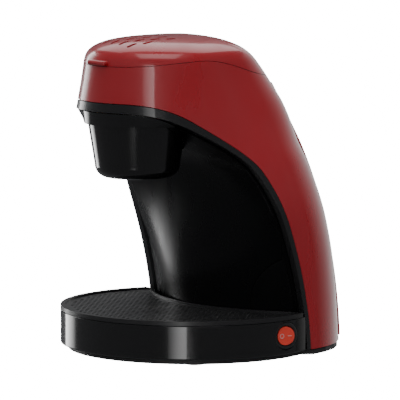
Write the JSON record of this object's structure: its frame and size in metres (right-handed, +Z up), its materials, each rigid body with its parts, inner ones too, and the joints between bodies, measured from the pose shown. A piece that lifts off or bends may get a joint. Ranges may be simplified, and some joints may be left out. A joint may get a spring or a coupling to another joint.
{
  "type": "two-cup drip coffee maker",
  "caption": "Small drip coffee maker: red arched body over a round black base, hanging brew basket, perforated cup plate, rear-hinged lid and round rocker switch.",
  "frame": {"origin": "middle of the footprint, on the surface that the feet stand on", "axes": "+Z up, -Y towards the front (the nose and the cup plate), +X towards the side with the switch"},
  "size_m": [0.1816, 0.197, 0.2175],
  "materials": {
    "red_gloss": "high gloss, dark red",
    "black_gloss": "high gloss black",
    "black_matte": "fine satin texture, black",
    "natural_plastic": "milky natural plastic",
    "grey_plastic": "satin grey",
    "switch_red": "glossy translucent red",
    "rubber": "matte black",
    "silicone": "soft milky silicone",
    "steel": "fine brushed",
    "aluminium": "cast",
    "brass": "plain"
  },
  "bodies": {
    "housing": {"body_shell": "red_gloss", "back_cover": "red_gloss", "trim_frame": "black_gloss", "column_wall": "black_gloss", "head_underside": "black_gloss", "basket_housing": "black_gloss", "base_housing": "black_gloss", "switch_body": "black_gloss", "inner_deck": "black_matte", "bottom_cover": "black_matte", "drip_tray": "black_matte", "thermostat": "black_matte", "cord_gland": "black_matte", "filter_frame": "natural_plastic", "filter_bail": "natural_plastic", "water_tank": "natural_plastic", "check_valve": "natural_plastic", "spray_arm": "grey_plastic", "spray_head": "grey_plastic", "foot_1": "rubber", "foot_2": "rubber", "foot_3": "rubber", "foot_4": "rubber", "tank_hose": "silicone", "inlet_hose": "silicone", "riser_hose": "silicone", "filter_mesh": "steel", "hinge_pin_left": "steel", "hinge_pin_right": "steel", "bottom_screw_1": "steel", "bottom_screw_2": "steel", "bottom_screw_3": "steel", "bottom_screw_4": "steel", "heater_pipe": "steel", "heater_bracket_left": "steel", "heater_bracket_right": "steel", "heater_block": "aluminium", "switch_blade_1": "brass", "switch_blade_2": "brass", "switch_blade_3": "brass", "thermal_fuse_1": "brass", "thermal_fuse_2": "brass"},
    "lid": {"lid": "red_gloss"},
    "rocker": {"switch_rocker": "switch_red"},
    "cup_plate": {"cup_plate": "black_gloss"}
  },
  "joints": [
    {"name": "lid_hinge", "type": "hinge", "parent": "housing", "child": "lid", "pos_m": [0, 0.03431, 0.19], "axis": [-1, 0, 0], "range_deg": [0, 85]},
    {"name": "switch_tilt", "type": "hinge", "parent": "housing", "child": "rocker", "pos_m": [0.08592, 0.00218, 0.0176], "axis": [0, 0, 1], "range_deg": [0, 14]},
    {"name": "cup_plate_lift", "type": "slide", "parent": "housing", "child": "cup_plate", "axis": [0, -0.8, 0.6], "range_m": [0, 0.06]}
  ]
}
